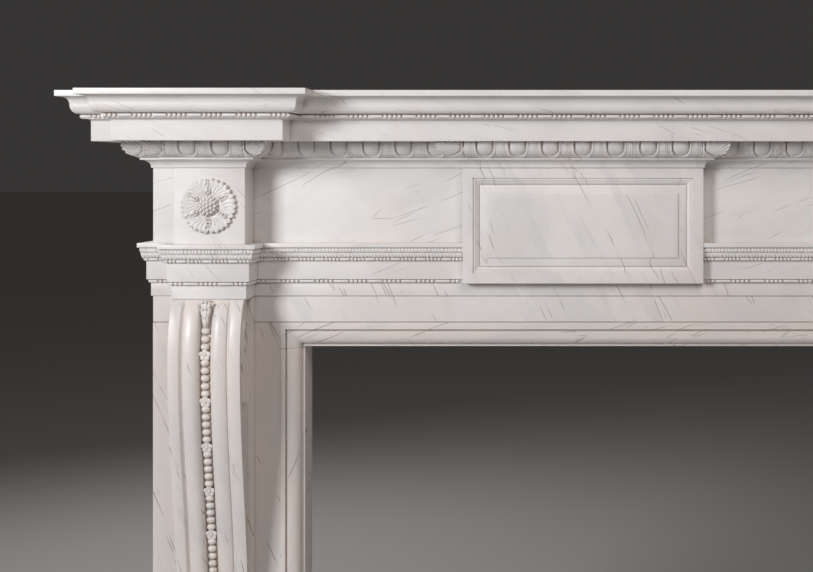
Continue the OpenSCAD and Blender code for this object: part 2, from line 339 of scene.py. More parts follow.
def shelf_profile():
    """Square edge, S-moulding, ground of the beads, hollow and corona."""
    edge_z = TOP_Z - EDGE_H
    cyma_mid_z = (edge_z + CYMA_Z) / 2
    bead_z = CYMA_Z - SHELF_BEAD_H
    cyma_out = EDGE_OUT - CYMA_IN
    ground = CYMA_FOOT_OUT - BEAD_GROUND
    return ([(EDGE_OUT - 8, TOP_Z), (EDGE_OUT, TOP_Z), (EDGE_OUT, edge_z)]
            + hollowed(cyma_out, edge_z, cyma_out - CYMA_D / 2, cyma_mid_z)
            + rounded(cyma_out - CYMA_D / 2, cyma_mid_z, CYMA_FOOT_OUT, CYMA_Z)
            + [(ground, CYMA_Z), (ground, bead_z)]
            + hollowed(ground, bead_z, CORONA_OUT, bead_z - SHELF_COVE_H)
            + [(CORONA_OUT, CORONA_Z), (CORONA_OUT - 8, CORONA_Z)])


def bed_profile():
    """Egg and dart ground, set back under the carving, then fillet, hollow and lip."""
    under = 2             # how far the ground lies under the carving
    fillet_o = 19
    lip_o = 3
    return (rounded(EGG_GROUND - under, CORONA_Z, fillet_o - BEAD_GROUND - under, EGG_Z)
            + [(fillet_o, EGG_Z), (fillet_o, FILLET_Z)]
            + hollowed(fillet_o - 1, FILLET_Z, lip_o, HOLLOW_Z + 2)
            + [(lip_o, HOLLOW_Z), (0, HOLLOW_Z)])


def architrave_profile():
    """Ledge, leaf band ground, bead strip, two fasciae and the second bead strip."""
    under = 1.5           # how far the ground lies under the carving
    upper_fascia_o = BEAD_2_OUT + BEAD_GROUND
    return ([(0, FRIEZE_Z), (LEDGE_OUT, FRIEZE_Z), (LEDGE_OUT, LEDGE_Z)]
            + rounded(LEAF_GROUND - under, LEDGE_Z, BEAD_1_OUT - under, LEAF_Z)
            + [(BEAD_1_OUT, LEAF_Z), (BEAD_1_OUT, BEAD_1_Z), (upper_fascia_o, BEAD_1_Z),
               (upper_fascia_o, UPPER_FASCIA_Z), (BEAD_2_OUT, UPPER_FASCIA_Z), (BEAD_2_OUT, BEAD_2_Z),
               (LOWER_FASCIA_OUT, BEAD_2_Z), (LOWER_FASCIA_OUT, FASCIA_Z)])


# ---- sweeping a profile round a plan ----

def plan(corners, radius):
    """Path through the corners with the stone on its left. Each step is a place and the way it moves
    for each millimetre of overhang. Outer corners are worn round by radius."""
    ways = [(Vector(b) - Vector(a)).normalized() for a, b in zip(corners, corners[1:])]
    normals = [Vector((way.y, -way.x)) for way in ways]
    path = [(Vector(corners[0]), normals[0])]
    for here, before, after, n0, n1 in zip(corners[1:], ways, ways[1:], normals, normals[1:]):
        mitre = n0 + n1
        outer = before.x * after.y - before.y * after.x > 0
        if not outer:
            path.append((Vector(here), mitre))
            continue
        for a in quarter(3):
            path.append((Vector(here) + radius * (n0 * math.cos(a) + n1 * math.sin(a) - mitre), mitre))
    path.append((Vector(corners[-1]), normals[-1]))
    return path


def sweep(carving, corners, profile, cut=False, lift=0):
    """Closed moulding of one profile round the corners, mitred, with a flat back. A cut one ends square
    at its last corner, against another stone, and goes straight back from there. lift keeps its level
    faces clear of the same moulding on the stone behind."""
    path = plan(corners, sizes("arris"))
    profile = eased(profile, sizes("arris"))
    points = [(base.x + o * way.x, base.y + o * way.y, z + lift) for base, way in path for o, z in profile]
    rows = len(profile)
    faces = grid_faces(len(path), rows)
    last = (len(path) - 1) * rows
    top = [i * rows for i in range(len(path))]
    foot = [i * rows + rows - 1 for i in range(len(path))]
    end = list(range(last + rows - 1, last - 1, -1))
    if cut:
        back_foot = len(points)
        back_top = back_foot + 1
        points += [(corners[-1][0], corners[0][1], z) for z in (profile[-1][1], profile[0][1])]
        top.append(back_top)
        foot.append(back_foot)
        faces.append(end + [back_top, back_foot])
        end = [back_foot, back_top]
    faces += [top, foot, list(range(rows)) + end]
    carving.add(points, faces)


class Leg:
    """One straight run of a moulding's plan. A turn is 1 at an outer corner, -1 at an inner one and
    0 at a square end."""

    def __init__(self, start, end, turn0, turn1):
        self.start = Vector(start)
        self.way = (Vector(end) - self.start).normalized()
        self.out = Vector((self.way.y, -self.way.x))
        self.length = (Vector(end) - self.start).length
        self.turn0 = turn0
        self.turn1 = turn1
        self.centre = self.length / 2

    def ends(self, overhang):
        """Where a course at this overhang starts and stops: just short of a square end's plane, or on a
        mitre."""
        start = -self.turn0 * overhang if self.turn0 else END_GAP
        stop = self.turn1 * overhang if self.turn1 else -END_GAP
        return start, self.length + stop

    def place(self, a, out, z):
        """Point a along the leg, out from its face and at height z."""
        return (self.start.x + self.way.x * a + self.out.x * out,
                self.start.y + self.way.y * a + self.out.y * out, z)


def lay_band(carving, leg, ground, relief, step):
    """Closed strip of relief over the ground of a moulding, mitred at the ends of the leg.
    ground gives rows of (overhang, height, outward normal), from the top down."""
    out, height, normal_out, normal_up = (np.array(v)[None, :] for v in zip(*ground))
    middle = float(out.mean())
    low, high = leg.ends(middle)
    columns = max(4, round((high - low) / step))
    nominal = np.linspace(low, high, columns + 1)[:, None]
    blend = min(40, (high - low) / 2)     # of the way over which columns turn from square to mitred
    share0 = np.clip(1 - (nominal - low) / blend, 0, 1)
    share1 = np.clip(1 - (high - nominal) / blend, 0, 1)

    def along(overhang):
        return nominal + (overhang - middle) * (leg.turn1 * share1 - leg.turn0 * share0)

    a = along(out)
    far = np.full(a.shape, 1e3)
    corner = np.minimum(a if leg.turn0 > 0 else far, leg.length - a if leg.turn1 > 0 else far)
    inner0 = a - out if leg.turn0 < 0 else far
    inner1 = leg.length - out - a if leg.turn1 < 0 else far
    drop = np.broadcast_to(height[0, 0] - height, a.shape)
    rise = relief(leg, a, drop, corner, corner + out, np.minimum(inner0, inner1))
    front = out + rise * normal_out
    x, y, z = leg.place(along(front), front, height + rise * normal_up)
    deep = 4              # how far the strip reaches back into the stone
    behind = np.array([[out[0, -1] - deep, out[0, 0] - deep]])
    back_height = np.array([[height[0, -1] - 0.5, height[0, 0]]])
    back_x, back_y, back_z = leg.place(along(behind), behind, back_height)
    x = np.hstack([x, back_x])
    y = np.hstack([y, back_y])
    z = np.hstack([z, np.broadcast_to(back_z, back_x.shape)])
    points = np.stack([x, y, z], axis=2).reshape(-1, 3).tolist()
    faces = bar_faces(columns + 1, x.shape[1])
    faces[-1].reverse()   # turned as the first cap is, so that both ends shade into their mitres alike
    carving.add(points, faces, sharp=75)


def bead_row(carving, leg, out, z, radius, pitch, repeat, shift):
    """Groups of four round beads with a long reel between one group and the next."""
    low, high = leg.ends(out)
    way = Vector((leg.way.x, leg.way.y, 0))
    outward = Vector((leg.out.x, leg.out.y, 0))
    up = Vector((0, 0, 1))
    group = 4
    half = group * pitch / 2
    gap = 0.3             # between a bead and a reel
    # The least room from an end to a bead's middle: a bead may run on into a mitre, and not past a square end
    room0, room1 = (pitch * (0.3 if turn else 0.5) for turn in (leg.turn0, leg.turn1))
    first = math.floor((low - leg.centre - shift) / repeat) - 1
    for n in range(first, math.ceil((high - leg.centre - shift) / repeat) + 1):
        middle = leg.centre + shift + n * repeat
        for i in range(group):
            a = middle + (i - (group - 1) / 2) * pitch
            if low + room0 < a < high - room1:
                ellipsoid(carving, leg.place(a, out, z), way * pitch * 0.49, up * radius, outward * radius,
                          rings=7, sides=10)
        start = max(low, middle + half + gap)
        end = min(high, middle + repeat - half - gap)
        if end - start > 2 * radius:
            reel(carving, leg, out, z, radius * 0.86, start, end)


def reel(carving, leg, out, z, radius, start, end):
    """Long bar with rounded ends, half let into its ground."""
    sides = 10
    ends = 4
    steps = [(radius * (1 - math.cos(a)), math.sin(a)) for a in quarter(ends)[1:]]
    stations = [(start + d, share) for d, share in steps] + [(end - d, share) for d, share in reversed(steps)]
    points = []
    for a, share in stations:
        for j in range(sides):
            turn = 2 * math.pi * j / sides
            r = radius * share
            points.append(leg.place(a, out + r * math.cos(turn), z + r * math.sin(turn)))
    carving.add(points, bar_faces(len(stations), sides), sharp=60)


# ---- relief ----

def smooth(low, high, value):
    """0 below low, 1 above high, and a soft step between."""
    t = np.clip((value - low) / (high - low), 0, 1)
    return t * t * (3 - 2 * t)


def bulge(u):
    """Quarter of an ellipse, from 1 at 0 down to 0 at 1."""
    return np.sqrt(np.clip(1 - u * u, 0, 1))


def quarter_ground(o0, z0, o1, z1, rows):
    """Rows down a quarter round, each with its outward normal."""
    ground = []
    for a in quarter(rows):
        normal = Vector(((z0 - z1) * math.cos(a), -(o0 - o1) * math.sin(a))).normalized()
        ground.append((o1 + (o0 - o1) * math.cos(a), z0 - (z0 - z1) * math.sin(a), normal.x, normal.y))
    return ground


def egg_anchor(leg, inset):
    """Where an egg is centred on a leg. On a leg that ends at an outer corner, the last dart is inset
    from that corner. Between two inner corners, a dart is in the middle."""
    pitch = sizes("egg_pitch")
    if leg.turn0 > 0:
        return inset + pitch / 2
    if leg.turn1 > 0:
        return leg.length - inset - pitch / 2
    return leg.centre + pitch / 2


def eggs_between_darts(leg, along, drop, inset):
    """Height of eggs in shells, with a fringed dart between one shell and the next."""
    pitch = sizes("egg_pitch")
    half = sizes("egg_half")
    straight = 9              # of an egg's sides, before they turn in
    groove = 1.4
    rim = 4.3
    from_egg = np.abs((along - egg_anchor(leg, inset) + pitch / 2) % pitch - pitch / 2)
    from_dart = pitch / 2 - from_egg
    below = np.maximum(drop - straight, 0) / (sizes("egg_length") - straight)
    reach = ((from_egg / half) ** 2.5 + below ** 2.5) ** 0.4
    outside = (reach - 1) * half
    egg = groove + (sizes("egg_relief") - groove) * bulge(reach)
    shell = groove * (1 - smooth(0, 0.8, outside)) + rim * smooth(1.7, 3.0, outside)
    flute = 0.5 - 0.5 * np.cos(2 * math.pi * from_dart / 3.9)
    lower = 0.35 + 0.65 * smooth(11, 20, drop)
    dart = 4.1 - 0.7 * smooth(2, 9, from_dart) + 0.8 * np.exp(-(from_dart / 1.8) ** 2) * (1 - lower)
    dart = dart - 1.0 * flute * lower + 0.3 * lower
    dart = dart * (1 - 0.6 * smooth(0.35, 0.6, flute) * smooth(22.4, 24.0, drop))
    shell = shell + (dart - rim) * smooth(5.0, 6.4, outside)
    return np.where(outside < 0, egg, shell)


def corner_leaf(outer, drop, past):
    """Height of the leaf folded round an outer corner, where past is how far a point is inside its wrap."""
    width = np.maximum(outer + past - 6, 1)
    share = np.hypot(outer / width, np.maximum(drop - 13, 0) / 12)
    beyond = (share - 1) * width
    vein = np.abs(np.cos(math.pi * (outer * 0.6 - drop * 0.8) / 5.2))
    leaf = 2.4 + 2.2 * bulge(share) + 2.6 * (vein - 0.5) + 1.4 * np.exp(-(outer / 1.5) ** 2)
    wrap = 1.8 * (1 - smooth(0, 0.8, beyond)) + 4.4 * smooth(1.6, 2.9, beyond)
    return np.where(beyond < 0, leaf, wrap) * smooth(0, 1.3, past)


def egg_and_dart(inset):
    """Relief of eggs and darts with a leaf at each outer corner. The last dart's middle is inset from the
    corner of the plain stone below."""

    def relief(leg, along, drop, corner, outer, inner):
        past = inset - 9 - corner
        course = eggs_between_darts(leg, along, drop, inset)
        height = np.where(past > 0, corner_leaf(outer, drop, past), course)
        clear = smooth(0, 3, inner)
        return height * clear + 2 * (1 - clear)

    return relief


def leaf_band(leg, along, drop, corner, outer, inner):
    """Close rows of small leaves: rounded lobes above, a drilled wavy line, and fringed tips below."""
    pitch = sizes("leaf_pitch")
    relief = sizes("leaf_relief")
    turn = 2 * math.pi * (along - leg.centre) / pitch
    lobe = np.sqrt(np.abs(np.cos(2 * turn + 0.35 * np.sin(turn))))
    line = 8.6 + 0.35 * np.cos(turn) + 0.9 * lobe     # how far down the drilled line runs
    upper = relief * (0.5 + 0.5 * lobe) * bulge(np.clip((drop - line * 0.45) / (line * 0.6), -1, 1))
    t = np.clip((drop - line - 0.9) / (LEDGE_Z - LEAF_Z - line - 0.9), 0, 1)
    fringe = np.abs(np.cos(2 * turn + math.pi / 2 + 0.8 * t * np.sin(turn)))
    lower = relief * smooth(0, 0.16, t) * (0.8 - 0.36 * t) * (0.6 + 0.4 * fringe)
    lower = 0.8 * lower * (1 - 0.75 * smooth(0.55 + 0.35 * fringe, 0.7 + 0.35 * fringe, t))
    height = np.where(drop < line + 0.3, upper, lower)
    edge = np.minimum(outer, inner)
    return height * smooth(0, 2, edge) + 0.5 * relief * (1 - smooth(0, 2, edge))


ROSETTE_LOBES = 5         # scallops on the rim of each leaf


def rosette_relief(turn, share):
    """Distance from the middle and height of the rosette's leaves, at angles round it and at shares of the
    way out to its rim."""
    radius = sizes("rosette_radius")
    leaves = bpy.context.scene.mantel_sizes.rosette_leaves
    sector = math.pi / leaves
    phi = (turn + sector) % (2 * sector) - sector
    across = np.abs(phi) / sector
    scallop = np.abs(np.cos(ROSETTE_LOBES * leaves * turn / 2))
    frill = np.abs(np.cos(ROSETTE_LOBES * leaves * turn + 0.8))
    uneven = np.sin(2.3 * leaves * turn + 1) * np.sin(1.7 * turn)
    rim = radius * (0.895 + 0.09 * scallop ** 0.6 + 0.01 * frill + 0.015 * uneven)
    rim = rim * (1 - 0.05 * smooth(0.72, 1, across))
    r = share * rim
    from_heart = np.clip((r / radius - 0.34) / 0.66, 0, 1)
    body = 4.0 + 2.2 * np.sin(math.pi * from_heart ** 0.8) + 1.4 * smooth(0.7, 0.95, share)
    valley = 2.2 * smooth(0.7, 1, across) * (1 - 0.6 * smooth(0.8, 0.95, share))
    valley = valley * smooth(0.2, 0.5, from_heart)

    # Veins fan out over each leaf from a base near the heart
    base = 0.24 * radius
    fan = np.arctan2(r * np.sin(phi), np.maximum(r * np.cos(phi) - base, 1))
    lobe_turn = 2 * sector / ROSETTE_LOBES
    spread = math.atan2(radius * math.sin(lobe_turn), radius * math.cos(lobe_turn) - base)
    lobe = np.abs(np.cos(math.pi * fan / spread))
    rib = np.abs(np.cos(2 * math.pi * fan / spread))
    leaf = np.floor((turn + sector) / (2 * sector))
    curl = np.abs(np.cos(math.pi * fan / spread + 1.1 * np.sin(8 * from_heart + 2 * leaf)))
    veins = 1.3 * (lobe ** 0.6 - 0.7) + 0.9 * (rib - 0.5) + 1.1 * (curl - 0.6)
    height = body - valley + veins * smooth(0.05, 0.3, from_heart)

    # A bud lies in each valley, with one large drilled dimple in a raised lip and two smaller ones beyond it
    down = r * np.cos(sector - np.abs(phi))
    beside = r * np.sin(sector - np.abs(phi))
    bud = np.hypot((down - 0.6 * radius) / 10, beside / 5.2)
    height = height + 2.6 * bulge(bud) - 1.4 * smooth(0.75, 1, bud) * (1 - smooth(1, 1.35, bud))
    for place, hole, lip in ((0.52, 2.2, 1.0), (0.62, 1.6, 0.4), (0.7, 1.2, 0.2)):
        eye = np.hypot(down - place * radius, beside)
        height = height + lip * smooth(hole, hole + 1, eye) * (1 - smooth(hole + 1, hole + 3.6, eye))
        height = height - 0.3 * height * (1 - smooth(hole * 0.5, hole, eye))
    return r, height * (1 - 0.3 * smooth(0.97, 1, share))


def rosette(carving, x, y, z):
    """Scalloped leaves round a heart of berries, on a face at y."""
    steps = bpy.context.scene.mantel_sizes.rosette_leaves * ROSETTE_LOBES * 12
    rows = 64
    turn = (2 * math.pi * np.arange(steps) / steps)[:, None]
    r, height = rosette_relief(turn, np.linspace(0.02, 1, rows)[None, :])
    px = x + r * np.cos(turn)
    pz = z + r * np.sin(turn)
    px = np.hstack([px, px[:, -1:]])
    pz = np.hstack([pz, pz[:, -1:]])
    py = np.hstack([y - height, np.full((steps, 1), y + 1.0)])
    points = np.stack([px, py, pz], axis=2).reshape(-1, 3).tolist()
    faces = grid_faces(steps, rows + 1, closed=True)
    faces.append([c * (rows + 1) for c in range(steps)])
    faces.append([c * (rows + 1) + rows for c in range(steps - 1, -1, -1)])
    carving.add(points, faces, sharp=80)

    heart = 0.32 * sizes("rosette_radius")
    dome = 12
    berry = 3.4
    foot = y - 3
    ellipsoid(carving, (x, foot, z), (0, -dome, 0), (heart, 0, 0), (0, 0, heart), rings=10, sides=32)
    for ring, count in enumerate((1, 6, 12, 16)):
        tip = math.radians(26 * ring)
        for i in range(count):
            around = 2 * math.pi * (i + 0.5 * (ring % 2)) / count
            centre = (x + heart * math.sin(tip) * math.cos(around), foot - dome * math.cos(tip),
                      z + heart * math.sin(tip) * math.sin(around))
            ellipsoid(carving, centre, (0, -berry, 0), (berry, 0, 0), (0, 0, berry), rings=7, sides=10)


# ---- stones ----

def round_front(half):
    """Corners of a body on the main face, from the wall round its front and back, by its half width."""
    return [(-half, WALL_Y), (-half, FACE_Y), (half, FACE_Y), (half, WALL_Y)]


def breakfront():
    """Corners of the shelf's plan, which steps forward over each end block."""
    left = [(-BODY_X, WALL_Y), (-BODY_X, FACE_Y), (-BLOCK_X1, FACE_Y), (-BLOCK_X1, BLOCK_Y),
            (-BLOCK_X0, BLOCK_Y), (-BLOCK_X0, FACE_Y)]
    return left + [(-x, y) for x, y in reversed(left)]


def legs_along(corners, square_ends=True):
    """Legs between the corners, with the turn at each end worked out from the plan."""
    turns = [0 if square_ends else -1]
    for a, b, c in zip(corners, corners[1:], corners[2:]):
        cross = (b[0] - a[0]) * (c[1] - b[1]) - (b[1] - a[1]) * (c[0] - b[0])
        turns.append(1 if cross > 0 else -1)
    turns.append(turns[0])
    return [Leg(a, b, t0, t1) for a, b, t0, t1 in zip(corners, corners[1:], turns, turns[1:])]


def block_corners():
    """Corners of the left end block's front."""
    return [(-BLOCK_X1, FACE_Y), (-BLOCK_X1, BLOCK_Y), (-BLOCK_X0, BLOCK_Y), (-BLOCK_X0, FACE_Y)]


def tablet_corners():
    """Corners of the tablet's front."""
    return [(-TABLET_X, FACE_Y), (-TABLET_X, TABLET_Y), (TABLET_X, TABLET_Y), (TABLET_X, FACE_Y)]


def carve_eggs(carving, legs, eggs=None):
    """Egg and dart along the legs. eggs is how many lie between the corner leaves of the long one."""
    ground = [(o, z, way_out, 0.3 * way_up) for o, z, way_out, way_up
              in quarter_ground(EGG_GROUND, CORONA_Z, 15, EGG_Z, 28)]
    inset = 5.6
    if eggs:
        inset = (max(leg.length for leg in legs) - eggs * sizes("egg_pitch")) / 2
    for leg in legs:
        lay_band(carving, leg, ground, egg_and_dart(inset), 0.9)


def carve_leaves_and_beads(carving, legs):
    """Leaf band with the bead strip under it, and the bead strip between the fasciae."""
    ground = quarter_ground(LEAF_GROUND, LEDGE_Z, BEAD_1_OUT, LEAF_Z, 17)
    for leg in legs:
        lay_band(carving, leg, ground, leaf_band, 1.0)
        shift = BEAD_1_REPEAT / 2 if leg.turn0 > 0 and leg.turn1 > 0 else 0
        bead_row(carving, leg, BEAD_1_OUT + 0.9, (BEAD_1_Z + LEAF_Z) / 2, 3.1,
                 sizes("bead_1_pitch"), BEAD_1_REPEAT, shift)
        bead_row(carving, leg, BEAD_2_OUT + 0.7, (BEAD_2_Z + UPPER_FASCIA_Z) / 2, 3.3,
                 sizes("bead_2_pitch"), BEAD_2_REPEAT, 0)


def build_shelf():
    """The shelf, with its bead strip."""
    carving = Carving()
    sweep(carving, breakfront(), shelf_profile())
    out = CYMA_FOOT_OUT - BEAD_GROUND + 0.4
    for leg in legs_along(breakfront()):
        shift = SHELF_REPEAT / 2 if leg.turn0 > 0 else 23
        bead_row(carving, leg, out, CYMA_Z - SHELF_BEAD_H / 2, 3.9,
                 sizes("shelf_bead_pitch"), SHELF_REPEAT, shift)
    return carving


def build_frieze():
    """The frieze slab: lower fascia and lintel over its whole length, plain stone behind the tablet, and
    the mouldings and carving on each side of it."""
    carving = Carving()
    joint = 1.8           # arris worn along the joint over the frame
    lower = [(0, BEAD_2_Z), (LOWER_FASCIA_OUT, BEAD_2_Z), (LOWER_FASCIA_OUT, FASCIA_Z), (0, FASCIA_Z),
             (0, LINTEL_Z + joint), (-joint, LINTEL_Z), (-8, LINTEL_Z)]
    sweep(carving, round_front(BODY_X), lower)
    sweep(carving, round_front(TABLET_X), [(0, CORONA_Z), (0, BEAD_2_Z)])
    half = Carving()
    wall_end = (-BODY_X, WALL_Y)
    corner = (-BODY_X, FACE_Y)
    block_side = (-BLOCK_X0, FACE_Y)
    tablet_side = (-TABLET_X, FACE_Y)
    sweep(half, [wall_end, corner, tablet_side], bed_profile() + architrave_profile()[:-1], cut=True)
    ends = [Leg(wall_end, corner, 0, 1), Leg(corner, (-BLOCK_X1, FACE_Y), 1, -1)]
    carve_eggs(half, ends + [Leg(block_side, tablet_side, -1, -1)])
    carve_leaves_and_beads(half, ends + [Leg(block_side, tablet_side, -1, 0)])
    carving.join(half)
    carving.join(half.mirrored())
    return carving


def build_end_block():
    """The left end block, with its rosette."""
    carving = Carving()
    sweep(carving, block_corners(), bed_profile() + architrave_profile(), lift=LEVEL_GAP)
    legs = legs_along(block_corners(), square_ends=False)
    carve_eggs(carving, legs, eggs=2)
    carve_leaves_and_beads(carving, legs)
    rosette(carving, -BLOCK_MID, BLOCK_Y, (FRIEZE_Z + HOLLOW_Z) / 2)
    return carving


def build_tablet():
    """Raised and fielded panel under its own run of egg and dart."""
    carving = Carving()
    sweep(carving, tablet_corners(), bed_profile(), lift=LEVEL_GAP)
    carve_eggs(carving, legs_along(tablet_corners(), square_ends=False), eggs=7)
    # Steps of the panel, each (distance in from the tablet's edge, depth behind its face)
    border = 18.9
    fillet = border + 4.7
    fillet_d = 3.8
    cove = 5.5
    cove_d = 2.4
    bevel = fillet + cove + 2
    field = border + 27.5
    field_d = 1
    steps = [(0, FACE_Y - TABLET_Y), (0, 0), (border, 0), (border, 2.2), (fillet, 2.2), (fillet, fillet_d)]
    steps += [(fillet + cove * i / 8, fillet_d + cove_d * (1 - math.cos(a)))
              for i, a in enumerate(quarter(8)) if i]
    steps += [(bevel, 8), (bevel, 6), (field, 3), (field, field_d), (field + 13, field_d)]
    steps = eased([(inset, -depth) for inset, depth in steps], sizes("arris") * 0.7)
    points = []
    for inset, level in steps:
        left = TABLET_X - inset
        low = BEAD_2_Z + inset
        high = HOLLOW_Z - inset
        points += [(-left, TABLET_Y - level, low), (left, TABLET_Y - level, low),
                   (left, TABLET_Y - level, high), (-left, TABLET_Y - level, high)]
    carving.add(points, bar_faces(len(steps), 4))
    return carving


# ---- consoles ----

CONSOLE_OUT = FACE_Y - console_low.y      # greatest projection
CROWN_OUT = FACE_Y - BLOCK_Y - 1          # projection at the top, just behind the end block's face
WAIST_OUT = 44
CROWN_Z = FASCIA_Z - 110
WAIST_Z = CROWN_Z - 472
ROLL_Z = FOOT_Z + 50
ROLL_OUT = 66
FOOT_END_OUT = 52
MARGIN = 20
CHANNEL_HALF = 8.9        # half width of the channel down the middle
SIDE_SUNK = 9             # how deep a console's side is cut back inside its rim
CONSOLE_HALF = (BLOCK_X1 - BLOCK_X0) / 2

# Spirals on a console's side: projection and height of the eye, radius, size of the eye, turns, way round,
# and how far the coils are drawn out upwards
VOLUTES = ((47, CROWN_Z - 68, 22, 7.5, 1.5, 1, 125), (33, FOOT_Z + 38, 25, 4.5, 1.25, -1, 0))


def swing(t):
    """From 1 down to 0 as t goes from 0 to 1, level at both ends."""
    return (1 + math.cos(math.pi * t)) / 2


def arc(u):
    """Quarter of a circle, from 1 at 0 down to 0 at 1."""
    return math.sqrt(max(0, 1 - u * u))


def scroll_out(z):
    """Projection of the console's margins at a height."""
    if z > CROWN_Z:
        return CROWN_OUT + (CONSOLE_OUT - CROWN_OUT) * arc((z - CROWN_Z) / (FASCIA_Z - CROWN_Z))
    if z > WAIST_Z:
        return WAIST_OUT + (CONSOLE_OUT - WAIST_OUT) * swing((CROWN_Z - z) / (CROWN_Z - WAIST_Z))
    if z > ROLL_Z:
        return ROLL_OUT + (WAIST_OUT - ROLL_OUT) * swing((WAIST_Z - z) / (WAIST_Z - ROLL_Z))
    return FOOT_END_OUT + (ROLL_OUT - FOOT_END_OUT) * arc((ROLL_Z - z) / (ROLL_Z - FOOT_Z))


def console_section():
    """Half of the console's front as (offset from its middle, depth behind the margins)."""
    groove = 5.5          # depth between a margin and its roll
    channel = 13.5
    roll_x1 = CONSOLE_HALF - MARGIN - 5
    top = (CHANNEL_HALF + roll_x1) / 2
    wide = (roll_x1 - CHANNEL_HALF) / 2
    section = [(CONSOLE_HALF, 1.2), (CONSOLE_HALF - 0.35, 0.35), (CONSOLE_HALF - 1.2, 0)]
    slope = CONSOLE_HALF - MARGIN + 2
    section += [(slope + (roll_x1 - slope) * i / 6, groove * (1 - swing(i / 6))) for i in range(7)]
    steps = 24
    for i in range(1, steps + 1):
        a = math.pi * i / steps
        across = math.cos(a)
        depth = groove if across > 0 else channel
        section.append((top + wide * across, depth * (1 - math.sin(a))))
    section += [(CHANNEL_HALF - 1.5, channel + 0.6), (0, channel + 0.6)]
    return section


def console_heights():
    """Heights of the cross sections, closer together where the ends turn in."""
    ends = [0, 1, 2, 3, 4.5, 6, 7.5, 9, 11, 14, 18, 23]
    top = [FASCIA_Z - d for d in ends]
    foot = [FOOT_Z + d for d in reversed(ends)]
    count = 170
    between = [top[-1] + (foot[0] - top[-1]) * i / count for i in range(1, count)]
    return top + between + foot


def console_body(carving):
    """The console without its spirals and beads."""
    section = console_section()
    half = CONSOLE_HALF
    rim = 8
    back = 4.5
    rings = []
    for z in console_heights():
        out = scroll_out(z)
        from_end = min(FASCIA_Z - z, z - FOOT_Z)
        share = 1 - swing(min(1, from_end / 9))
        side = half - SIDE_SUNK * (1 - swing(min(1, max(0, from_end - 3) / 4)))
        right = [(x, out - (depth if x > half - 2 else depth * share)) for x, depth in section]
        flank = [(side, back), (side, out - rim - 2.5), (side + (half - side) * 0.2, out - rim - 1.2),
                 (half - 0.3, out - rim), (half, out - rim + 0.6)]
        ring = flank + right
        ring += [(-x, p) for x, p in reversed(ring[:-1])]
        rings.append([(x - BLOCK_MID, FACE_Y - p, z) for x, p in ring])
    carving.add([p for ring in rings for p in ring], bar_faces(len(rings), len(rings[0])), sharp=38)


def volute(carving, side, centre_out, centre_z, radius, eye, turns, sense, tall):
    """Spiral fillet on a console's sunk side, winding in to an eye. Its coils are drawn out upwards by
    tall above the eye."""
    floor = side * (CONSOLE_HALF - SIDE_SUNK) - BLOCK_MID
    steps = int(48 * turns)
    arcs = 7
    points = []
    for i in range(steps + 1):
        t = i / steps
        r = radius * (eye / radius) ** t
        turn = sense * 2 * math.pi * turns * t
        wide = max(2.0, 0.07 * r + 1.4) * min(1, 0.35 + 6 * t)
        for j in range(arcs):
            a = math.pi * j / (arcs - 1)
            reach = r + wide * math.cos(a)
            draw = tall * (1 + math.tanh(2.2 * math.sin(turn))) / 2 * (1 - 0.3 * t)
            points.append((floor + side * ((SIDE_SUNK * 0.95) * math.sin(a) - 0.7),
                           FACE_Y - centre_out - reach * math.cos(turn),
                           centre_z + draw + reach * math.sin(turn)))
    carving.add(points, bar_faces(steps + 1, arcs), sharp=60)
    ellipsoid(carving, (floor, FACE_Y - centre_out, centre_z), (side * SIDE_SUNK, 0, 0), (0, eye * 0.8, 0),
              (0, 0, eye), rings=8, sides=20)


def string_route():
    """Places down the channel for each bead, as (height, projection, tangent), from the top bead down."""
    sunk = 12.5
    step = 0.5
    pitch = sizes("string_pitch")
    start = FASCIA_Z - 29
    route = []
    travelled = 0
    z = start
    target = 0
    while z > FOOT_Z + 16:
        out = scroll_out(z) - sunk
        lower = scroll_out(z - step) - sunk
        if travelled >= target:
            route.append((z, out, Vector((0, out - lower, -step)).normalized()))
            target += pitch
        travelled += math.hypot(step, lower - out)
        z -= step
    return route


def bead_string(carving):
    """Beads and flowers down the channel, under a small husk."""
    radius = sizes("string_bead")
    group = bpy.context.scene.mantel_sizes.string_group + 1
    side = Vector((1, 0, 0))
    route = string_route()
    first = 2             # the husk stands in the place of the beads before this one
    for i, (z, out, tangent) in list(enumerate(route))[first:]:
        centre = Vector((-BLOCK_MID, FACE_Y - out, z))
        outward = side.cross(tangent)
        if outward.y > 0:
            outward.negate()
        if i % group == group - 1:
            flower(carving, centre + outward * 3.2, tangent, side, outward)
        else:
            ellipsoid(carving, centre, tangent * radius * 0.88, side * radius * 1.1, outward * radius,
                      rings=12, sides=18)
    z, out, tangent = route[first]
    husk(carving, Vector((-BLOCK_MID, FACE_Y - out - 2, z + 7)))


def flower(carving, centre, down, side, outward):
    """Five broad petals that lap one another round a button."""
    petals = 5
    for i in range(petals):
        a = 2 * math.pi * (i + 0.5) / petals
        radial = down * math.cos(a) + side * math.sin(a)
        across = radial.cross(outward)
        lean = outward * (1.0 if i % 2 else 0.5)
        ellipsoid(carving, centre + radial * 5.6, radial * 4.9 + lean, across * 5.0, outward * 1.7,
                  rings=10, sides=14)
    ellipsoid(carving, centre + outward * 1.2, outward * 2.0, down * 3.1, side * 3.1, rings=8, sides=14)
    ellipsoid(carving, centre - outward * 4.5, outward * 5, down * 7, side * 7, rings=8, sides=12)


